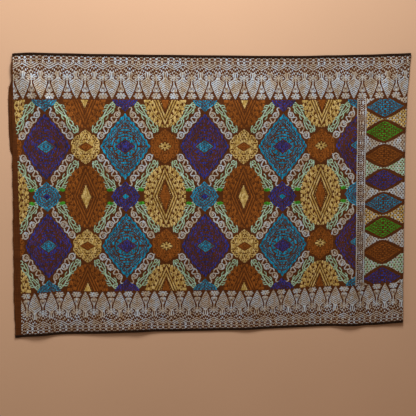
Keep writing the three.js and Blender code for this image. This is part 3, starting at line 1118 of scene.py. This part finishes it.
def build_floats(name, s_line, v_line, mask, brocade, thickness, material):
    """Raised brocade floats: each a small hipped roof, two long slopes and two short, on the cloth's face.

    A float is laid out flat in the pattern, where its ridge ends a hip's length from both ends, and its
    six points are then put on the cloth. Floats past the shown part of the fold are left out.
    """
    pitch = s_line[1] - s_line[0]
    cell = v_line[1] - v_line[0]
    pick, begin, end = float_runs(mask, np.arange(len(s_line)) % 2, brocade.float_length / MM / cell)
    if len(pick) == 0:
        raise RuntimeError(f"No floats for {name}")
    s = s_line[pick]
    v_low = v_line[0] + (begin - 0.5) * cell
    v_high = v_line[0] + (end - 0.5) * cell
    half = 0.5 * pitch * brocade.thread_cover
    hip = np.minimum(HIP_LENGTH, HIP_SHARE * (v_high - v_low))
    rise = brocade.float_rise / MM
    v_middle = 0.5 * (v_low + v_high)
    past_start = pattern_place(s, v_middle)[0] - fold_start(v_middle, thickness)
    shown = past_start < FOLD_TURN_SHOWN * (FOLD_RADIUS + thickness / 2.0)
    s, v_low, v_high, hip = s[shown], v_low[shown], v_high[shown], hip[shown]
    zero = np.zeros_like(s)
    across = np.stack([s - half, s + half, s + half, s - half, s, s], 1)
    up = np.stack([v_low, v_low, v_high, v_high, v_low + hip, v_high - hip], 1)
    lift = np.stack([zero, zero, zero, zero, zero + rise, zero + rise], 1) + FLOAT_BASE
    x, y = pattern_place(across, up)
    points = face_points(x, up, y, lift, thickness).reshape(-1, 3)
    first = np.arange(len(s))[:, None] * 6
    ends = np.concatenate([first + (0, 1, 4), first + (2, 3, 5)])
    slopes = np.concatenate([first + (1, 2, 5, 4), first + (3, 0, 4, 5)])
    corners = np.concatenate([slopes.ravel(), ends.ravel()])
    sizes = np.concatenate([np.full(len(slopes), 4), np.full(len(ends), 3)])
    flat = np.stack([across.ravel(), up.ravel()], -1)[corners]
    return make_object(name, points, corners, sizes, material, flat_map(flat, MAP_SIZE[0]))


# Materials

class Nodes:
    """A material's node tree, with short calls to add and join nodes."""

    def __init__(self, name):
        self.material = bpy.data.materials.new(name)
        self.material.use_nodes = True
        self.tree = self.material.node_tree
        self.shader = self.tree.nodes["Principled BSDF"]

    def add(self, kind, **values):
        """A new node of a kind, with its own settings."""
        node = self.tree.nodes.new(kind)
        for key, value in values.items():
            setattr(node, key, value)
        return node

    def join(self, output, target):
        """A link from an output to an input."""
        self.tree.links.new(output, target)

    def noise(self, vector, scale, detail=2.0, rough=0.5):
        """Noise at a vector, from 0 to 1."""
        node = self.add("ShaderNodeTexNoise")
        node.inputs["Scale"].default_value = scale
        node.inputs["Detail"].default_value = detail
        node.inputs["Roughness"].default_value = rough
        self.join(vector, node.inputs["Vector"])
        return node.outputs["Fac"]

    def stretched(self, vector, scale):
        """A vector times a scale for each axis: a small scale draws a pattern out along that axis."""
        node = self.add("ShaderNodeMapping")
        node.inputs["Scale"].default_value = scale
        self.join(vector, node.inputs["Vector"])
        return node.outputs["Vector"]

    def ramp(self, factor, stops):
        """Colour of a factor, even between stops of place and colour."""
        node = self.add("ShaderNodeValToRGB")
        elements = node.color_ramp.elements
        while len(elements) < len(stops):
            elements.new(0.5)
        for element, (place, colour) in zip(elements, stops):
            element.position = place
            element.color = (*colour, 1.0)
        self.join(factor, node.inputs["Fac"])
        return node.outputs["Color"]

    def mix(self, factor, first, second, blend="MIX"):
        """Two colours blended by a fixed share."""
        node = self.add("ShaderNodeMix", data_type="RGBA", blend_type=blend)
        node.inputs[0].default_value = factor
        self.join(first, node.inputs[6])
        self.join(second, node.inputs[7])
        return node.outputs[2]

    def span(self, factor, low, high):
        """A factor from 0 to 1 brought to a range."""
        node = self.add("ShaderNodeMapRange")
        node.inputs["To Min"].default_value = low
        node.inputs["To Max"].default_value = high
        self.join(factor, node.inputs["Value"])
        return node.outputs["Result"]

    def bump(self, height, strength, distance):
        """The shader's bump from a height, with its depth in metres."""
        node = self.add("ShaderNodeBump")
        node.inputs["Strength"].default_value = strength
        node.inputs["Distance"].default_value = distance
        self.join(height, node.inputs["Height"])
        self.join(node.outputs["Normal"], self.shader.inputs["Normal"])

    def place(self):
        """The place on the piece, in its own coordinates."""
        return self.add("ShaderNodeTexCoord").outputs["Object"]


def grey(level):
    """A colour of one level."""
    return (level,) * 3


def shade(colour, share):
    """A colour made darker or lighter by a share, held at 1."""
    return tuple(min(1.0, channel * share) for channel in colour)


def thread_material(name, colour, warm, tone_and_glint, rough, metal, specular, speckle, patch, single, reach):
    """Brocade thread: its colour mottled warm and light, streaked along the floats, with fine grain.

    The tone runs from the warm one through the colour to the light one, by a reach to each side. The light
    end is partly the thread's own uneven tone and partly painted glint, brighter flecks that stand for light
    caught by the floats. Single is the share of the tone that a float has of its own, and the rest is noise
    at the patch's scale.
    """
    nodes = Nodes(name)
    place = nodes.place()
    mottle = nodes.noise(nodes.stretched(place, (1.0, 0.6, 1.0)), patch, detail=3.0, rough=0.65)
    island = nodes.add("ShaderNodeNewGeometry").outputs["Random Per Island"]
    spread = nodes.add("ShaderNodeMath", operation="MULTIPLY_ADD")
    nodes.join(island, spread.inputs[0])
    spread.inputs[1].default_value = single
    shared = nodes.add("ShaderNodeMath", operation="MULTIPLY")
    nodes.join(mottle, shared.inputs[0])
    shared.inputs[1].default_value = 1.0 - single
    nodes.join(shared.outputs["Value"], spread.inputs[2])
    # Painted glint: the tone's light end is partly brighter flecks that stand for light caught by the
    # floats, and partly the thread's own uneven tone
    tone = nodes.ramp(spread.outputs["Value"], [(0.5 - reach, warm), (0.5, colour), (0.5 + reach, tone_and_glint)])
    streak = nodes.noise(nodes.stretched(place, (1.0, 0.06, 1.0)), scale=520.0, rough=0.6)
    streaks = nodes.ramp(streak, [(0.3, grey(1.0 - speckle)), (0.7, grey(1.0))])
    broad = nodes.noise(place, scale=9.0)
    patches = nodes.ramp(broad, [(0.3, grey(0.86)), (0.7, grey(1.0))])
    shaded = nodes.mix(1.0, nodes.mix(1.0, tone, streaks, "MULTIPLY"), patches, "MULTIPLY")
    nodes.join(shaded, nodes.shader.inputs["Base Color"])
    nodes.join(nodes.span(mottle, rough - 0.08, rough + 0.12), nodes.shader.inputs["Roughness"])
    nodes.shader.inputs["Metallic"].default_value = metal
    nodes.shader.inputs["Specular IOR Level"].default_value = specular
    grain = nodes.noise(nodes.stretched(place, (1.0, 0.25, 1.0)), scale=2600.0, detail=1.0)
    nodes.bump(grain, strength=0.25, distance=0.0002)
    return nodes.material


def weave_material(name, dark, light, rough, specular):
    """Plain weave: noise drawn out along both ways, under soft clouds, and a bump of two crossed waves."""
    nodes = Nodes(name)
    place = nodes.place()
    weft = nodes.noise(nodes.stretched(place, (1.0, 0.03, 1.0)), scale=700.0, rough=0.6)
    warp = nodes.noise(nodes.stretched(place, (0.03, 1.0, 1.0)), scale=700.0, rough=0.6)
    threads = nodes.mix(0.5, nodes.ramp(weft, [(0.3, dark), (0.7, light)]),
                        nodes.ramp(warp, [(0.3, dark), (0.7, light)]))
    cloud = nodes.noise(place, scale=22.0, detail=3.0, rough=0.55)
    clouds = nodes.ramp(cloud, [(0.3, grey(0.80)), (0.7, grey(1.0))])
    nodes.join(nodes.mix(1.0, threads, clouds, "MULTIPLY"), nodes.shader.inputs["Base Color"])
    nodes.join(nodes.span(cloud, rough - 0.05, rough + 0.08), nodes.shader.inputs["Roughness"])
    nodes.shader.inputs["Specular IOR Level"].default_value = specular
    waves = []
    for direction in ("X", "Y"):
        wave_node = nodes.add("ShaderNodeTexWave", bands_direction=direction)
        wave_node.inputs["Scale"].default_value = 260.0
        wave_node.inputs["Distortion"].default_value = 1.5
        wave_node.inputs["Detail"].default_value = 1.0
        nodes.join(place, wave_node.inputs["Vector"])
        waves.append(wave_node.outputs["Fac"])
    joined = nodes.add("ShaderNodeMath", operation="MULTIPLY")
    nodes.join(waves[0], joined.inputs[0])
    nodes.join(waves[1], joined.inputs[1])
    nodes.bump(joined.outputs["Value"], strength=0.35, distance=0.0004)
    return nodes.material


# Settings

class WrapCloth(bpy.types.PropertyGroup):
    """Sizes and colours of the ground weave, the selvedges and the raw ends"""
    thickness: bpy.props.FloatProperty(
        name="Thickness", description="Thickness of the ground weave", default=0.0012, unit="LENGTH")
    selvedge: bpy.props.FloatProperty(
        name="Selvedge", description="Width of the dark band along each long edge", default=SELVEDGE * MM,
        unit="LENGTH")
    fray: bpy.props.FloatProperty(
        name="Fray", description="Longest loose yarn at the raw ends", default=0.0034, unit="LENGTH")
    fray_spacing: bpy.props.FloatProperty(
        name="Fray spacing", description="Distance between loose yarns", default=0.0026, unit="LENGTH")
    ground_dark: bpy.props.FloatVectorProperty(
        name="Ground, dark", description="Darker yarn of the ground weave", default=(0.047, 0.0123, 0.0022),
        subtype="COLOR")
    ground_light: bpy.props.FloatVectorProperty(
        name="Ground, light", description="Lighter yarn of the ground weave",
        default=(0.134, 0.0395, 0.0077), subtype="COLOR")
    selvedge_colour: bpy.props.FloatVectorProperty(
        name="Selvedge colour", description="Near black of the selvedges", default=(0.014, 0.007, 0.004),
        subtype="COLOR")


class WrapBrocade(bpy.types.PropertyGroup):
    """Sizes and thread colours of the brocade"""
    pick_pitch: bpy.props.FloatProperty(
        name="Pick pitch", description="Distance between brocade picks", default=0.0015, unit="LENGTH")
    cell: bpy.props.FloatProperty(
        name="Step", description="Finest step of the pattern along a pick", default=0.001, unit="LENGTH")
    float_length: bpy.props.FloatProperty(
        name="Float length", description="Length at which a float is tied down", default=0.0075,
        unit="LENGTH")
    float_rise: bpy.props.FloatProperty(
        name="Float rise", description="Height of a float above the ground weave", default=0.00032,
        unit="LENGTH")
    thread_cover: bpy.props.FloatProperty(
        name="Thread cover", description="Share of the pitch that a float covers", default=0.94)
    silver: bpy.props.FloatVectorProperty(
        name="Silver", description="Silver thread", default=(0.70, 0.68, 0.62), subtype="COLOR")
    mint: bpy.props.FloatVectorProperty(
        name="Mint", description="Mint thread", default=(0.43, 0.64, 0.44), subtype="COLOR")
    gold: bpy.props.FloatVectorProperty(
        name="Gold", description="Gold thread", default=(0.71, 0.46, 0.115), subtype="COLOR")
    copper: bpy.props.FloatVectorProperty(
        name="Copper", description="Copper thread", default=(0.32, 0.098, 0.014), subtype="COLOR")
    violet: bpy.props.FloatVectorProperty(
        name="Violet", description="Violet thread", default=(0.012, 0.037, 0.172), subtype="COLOR")
    blue: bpy.props.FloatVectorProperty(
        name="Blue", description="Blue thread", default=(0.004, 0.225, 0.39), subtype="COLOR")
    green: bpy.props.FloatVectorProperty(
        name="Green", description="Green thread", default=(0.055, 0.33, 0.022), subtype="COLOR")


class WrapStage(bpy.types.PropertyGroup):
    """Lens, lights and floor of the stage"""
    lens: bpy.props.FloatProperty(name="Lens", description="Focal length in millimetres", default=112.5)
    key_power: bpy.props.FloatProperty(name="Key light", description="Power of the key light", default=52.0)
    fill_power: bpy.props.FloatProperty(
        name="Fill light", description="Power of the fill light", default=4.4)
    side_power: bpy.props.FloatProperty(
        name="Side light", description="Power of the low side light", default=18.0)
    sky: bpy.props.FloatProperty(name="Sky", description="Strength of the plain surround", default=0.135)
    floor: bpy.props.FloatVectorProperty(
        name="Floor", description="Colour of the floor", default=(0.62, 0.39, 0.25), subtype="COLOR")


# Operators, and the helpers that make their brocade pieces


def dress(piece):
    """A piece put on the cloth's body."""
    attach(piece, "root")
    return piece


def brocade_lines(brocade):
    """Pick places along the folded width and step places across the height, in millimetres."""
    s_line = np.arange(FIELD_START + 0.5, PANEL_END, brocade.pick_pitch / MM)
    v_line = np.arange(-HALF_HEIGHT + SELVEDGE + 0.5, HALF_HEIGHT - SELVEDGE, brocade.cell / MM)
    return s_line, v_line


def thread_tones(brocade):
    """Each thread: its slot, its colour, its warm and its light mottle, and its finish.

    The light mottle is partly the thread's own tone and partly painted glint, brighter flecks for light
    caught by the floats. The finish is roughness, metal, specular level and streak depth, then the scale of
    the patches, the share of the tone that each float has of its own, and the reach of the tone.
    """
    silver, mint, gold, copper = brocade.silver, brocade.mint, brocade.gold, brocade.copper
    violet, blue, green = brocade.violet, brocade.blue, brocade.green
    fine = (230.0, 0.5, 0.18)
    # The fourth entry of each thread is its light tone, partly painted glint: brighter flecks for light
    # caught by the floats
    return {
        SILVER: ("silver_thread", silver, (0.56, 0.44, 0.30), (0.68, 0.83, 0.99),
                 0.38, 0.30, 0.35, 0.25, 62.0, 0.2, 0.12),
        MINT: ("mint_thread", mint, (0.34, 0.50, 0.27), (0.52, 0.80, 0.70), 0.5, 0.1, 0.2, 0.3, *fine),
        GOLD: ("gold_thread", gold, shade(gold, 0.62), (0.95, 0.74, 0.32), 0.42, 0.25, 0.2, 0.3, *fine),
        COPPER: ("copper_thread", copper, shade(copper, 0.62), shade(copper, 1.3),
                 0.46, 0.2, 0.15, 0.35, *fine),
        VIOLET: ("violet_thread", violet, (0.010, 0.015, 0.065), (0.028, 0.066, 0.56),
                 0.5, 0.1, 0.12, 0.4, *fine),
        BLUE: ("blue_thread", blue, (0.004, 0.11, 0.20), (0.006, 0.50, 0.88),
               0.46, 0.15, 0.08, 0.4, 150.0, 0.5, 0.18),
        GREEN: ("green_thread", green, shade(green, 0.55), shade(green, 1.45), 0.48, 0.1, 0.12, 0.35, *fine),
    }


def thread_finish(brocade, number):
    """Slot and material of a thread. The material is made once."""
    slot, *tones = thread_tones(brocade)[number]
    name = slot.replace("_", " ")
    found = bpy.data.materials.get(name)
    if found:
        return slot, found
    return slot, thread_material(name, tuple(tones[0]), *tones[1:])


def add_floats(name, number, s_line, v_line, mask, context):
    """One brocade piece in one thread, put on the cloth's body."""
    cloth, brocade = context.scene.wrap_cloth, context.scene.wrap_brocade
    slot, material = thread_finish(brocade, number)
    piece = build_floats(name, s_line, v_line, mask, brocade, cloth.thickness / MM, material)
    dress(piece)


class WRAP_OT_border_brocade(bpy.types.Operator):
    """Weave the silver borders along both long edges"""
    bl_idname = "wrap.border_brocade"
    bl_label = "Border Brocade"

    def execute(self, context):
        s_line, v_line = brocade_lines(context.scene.wrap_brocade)
        borders = [("silver_upper_border", v_line > FIELD_HALF),
                   ("silver_lower_border", v_line < -FIELD_HALF)]
        for name, rows in borders:
            held = v_line[rows]
            s, v = np.meshgrid(s_line, held, indexing="ij")
            add_floats(name, SILVER, s_line, held, full_chart(s, v) == SILVER, context)
        return {"FINISHED"}


class WRAP_OT_field_brocade(bpy.types.Operator):
    """Weave the lozenge field, the upright strip and the head panel"""
    bl_idname = "wrap.field_brocade"
    bl_label = "Field Brocade"

    def execute(self, context):
        s_line, v_line = brocade_lines(context.scene.wrap_brocade)
        held = v_line[np.abs(v_line) <= FIELD_HALF]
        s, v = np.meshgrid(s_line, held, indexing="ij")
        chart = full_chart(s, v)
        field = s < FIELD_END
        add_floats("silver_chains", SILVER, s_line, held, (chart == SILVER) & field, context)
        add_floats("silver_panel", SILVER, s_line, held, (chart == SILVER) & ~field, context)
        threads = [("mint_vines", MINT), ("gold_brocade", GOLD), ("copper_brocade", COPPER),
                   ("violet_brocade", VIOLET), ("blue_brocade", BLUE), ("green_brocade", GREEN)]
        for name, number in threads:
            add_floats(name, number, s_line, held, chart == number, context)
        return {"FINISHED"}


class WRAP_OT_ground(bpy.types.Operator):
    """Build the folded ground weave, its dark selvedges and the loose yarns of its raw ends"""
    bl_idname = "wrap.ground"
    bl_label = "Ground Weave"

    def execute(self, context):
        cloth = context.scene.wrap_cloth
        thickness = cloth.thickness / MM
        yarn_dark, yarn_light = tuple(cloth.ground_dark), tuple(cloth.ground_light)
        weave = weave_material("ground weave", yarn_dark, yarn_light, rough=0.75, specular=0.10)
        ground = dress(build_ground(thickness, weave))
        dark = tuple(cloth.selvedge_colour)
        edge_weave = weave_material("selvedge weave", dark, shade(dark, 2.0), rough=0.9, specular=0.04)
        bands = dress(build_selvedges(cloth.selvedge / MM, thickness, edge_weave))
        yarns = build_raw_ends(cloth.fray / MM, cloth.fray_spacing / MM, thickness, weave)
        dress(yarns)
        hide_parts("cloth")
        return {"FINISHED"}


class WRAP_OT_stage(bpy.types.Operator):
    """Set the floor, the lights, the surround and the camera"""
    bl_idname = "wrap.stage"
    bl_label = "Stage"

    def execute(self, context):
        stage = context.scene.wrap_stage
        nodes = Nodes("pale floor")
        cloud = nodes.noise(nodes.place(), scale=3.0)
        tone = nodes.ramp(cloud, [(0.3, shade(stage.floor, 0.97)), (0.7, tuple(stage.floor))])
        nodes.join(tone, nodes.shader.inputs["Base Color"])
        nodes.shader.inputs["Roughness"].default_value = 0.85
        corners = np.array([(-1, -1, 0), (1, -1, 0), (1, 1, 0), (-1, 1, 0)]) * FLOOR_HALF
        make_object("floor", corners, np.arange(4), np.array([4]), nodes.material, smooth=False)
        powers = (stage.key_power, stage.fill_power, stage.side_power)
        for (name, place, size, colour), power in zip(LIGHTS, powers):
            add_light(name, place, size, power, colour)
        world = bpy.data.worlds.new("plain surround")
        world.use_nodes = True
        background = world.node_tree.nodes["Background"]
        background.inputs["Color"].default_value = SURROUND_COLOUR
        background.inputs["Strength"].default_value = stage.sky
        context.scene.world = world
        context.scene.view_settings.view_transform = "Standard"
        view = bpy.data.cameras.new("view")
        view.lens = stage.lens
        view.sensor_width = SENSOR_WIDTH
        camera = bpy.data.objects.new("view", view)
        camera.location = CAMERA_PLACE
        camera.rotation_euler = CAMERA_TURN
        context.scene.collection.objects.link(camera)
        context.scene.camera = camera
        return {"FINISHED"}


def add_light(name, place, size, power, colour):
    """A square soft light at a place, turned to look at the middle of the cloth."""
    lamp = bpy.data.lights.new(name, "AREA")
    lamp.size = size
    lamp.energy = power
    lamp.color = colour
    light = bpy.data.objects.new(name, lamp)
    light.location = place
    x, y, z = place
    light.rotation_euler = (math.atan2(math.hypot(x, y), z), 0.0, math.atan2(y, x) + math.pi / 2.0)
    bpy.context.scene.collection.objects.link(light)


class WRAP_PT_panel(bpy.types.Panel):
    """Lists the operators and their settings"""
    bl_label = "Waist Wrap"
    bl_idname = "WRAP_PT_panel"
    bl_space_type = "VIEW_3D"
    bl_region_type = "UI"
    bl_category = "Waist Wrap"

    def draw(self, context):
        for operator in OPERATORS:
            self.layout.operator(operator.bl_idname)
        for settings in (context.scene.wrap_cloth, context.scene.wrap_brocade, context.scene.wrap_stage):
            box = self.layout.box()
            for name in settings.__annotations__:
                box.prop(settings, name)


OPERATORS = (WRAP_OT_border_brocade, WRAP_OT_field_brocade, WRAP_OT_ground, WRAP_OT_stage)
CLASSES = (WrapCloth, WrapBrocade, WrapStage) + OPERATORS + (WRAP_PT_panel,)


def register():
    """Registers the classes and their settings on the scene."""
    for item in CLASSES:
        bpy.utils.register_class(item)
    bpy.types.Scene.wrap_cloth = bpy.props.PointerProperty(type=WrapCloth)
    bpy.types.Scene.wrap_brocade = bpy.props.PointerProperty(type=WrapBrocade)
    bpy.types.Scene.wrap_stage = bpy.props.PointerProperty(type=WrapStage)


def unregister():
    """Takes the settings and the classes out again, in the other order."""
    del bpy.types.Scene.wrap_stage
    del bpy.types.Scene.wrap_brocade
    del bpy.types.Scene.wrap_cloth
    for item in reversed(CLASSES):
        bpy.utils.unregister_class(item)


def main():
    """Registers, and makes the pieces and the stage."""
    register()
    bpy.ops.wrap.border_brocade()
    bpy.ops.wrap.field_brocade()
    bpy.ops.wrap.ground()
    bpy.ops.wrap.stage()


if __name__ == "__main__":
    main()
